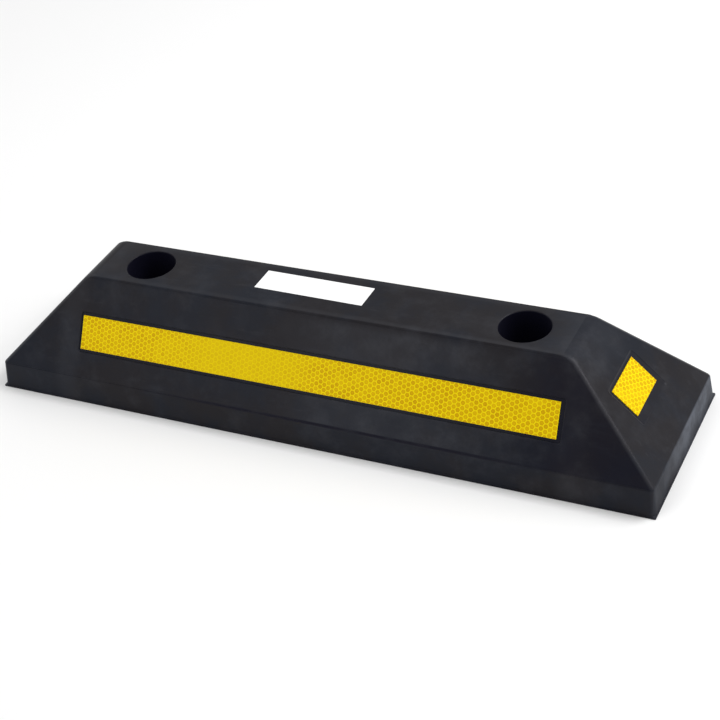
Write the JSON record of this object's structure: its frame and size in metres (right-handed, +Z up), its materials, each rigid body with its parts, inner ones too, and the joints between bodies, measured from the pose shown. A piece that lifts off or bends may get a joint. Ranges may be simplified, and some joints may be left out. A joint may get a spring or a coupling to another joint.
{
  "type": "parking wheel stop",
  "caption": "Low moulded rubber wheel stop with hipped ends, yellow honeycomb reflective strips and end patches, and counterbored bolt holes with steel washers.",
  "frame": {"origin": "centre of the underside, on the ground", "axes": "+X along the block, +Z up, -Y the front, the side of front_reflective_strip"},
  "size_m": [0.54, 0.145, 0.0892],
  "materials": {
    "black_rubber": "matte moulded",
    "yellow_reflective_film": "prismatic honeycomb film",
    "white_label": "plain satin vinyl",
    "zinc_steel": "zinc plated"
  },
  "bodies": {
    "root": {"rubber_body": "black_rubber", "front_reflective_strip": "yellow_reflective_film", "rear_reflective_strip": "yellow_reflective_film", "left_end_reflector": "yellow_reflective_film", "right_end_reflector": "yellow_reflective_film", "top_label": "white_label", "left_bolt_washer": "zinc_steel", "right_bolt_washer": "zinc_steel"}
  },
  "joints": []
}
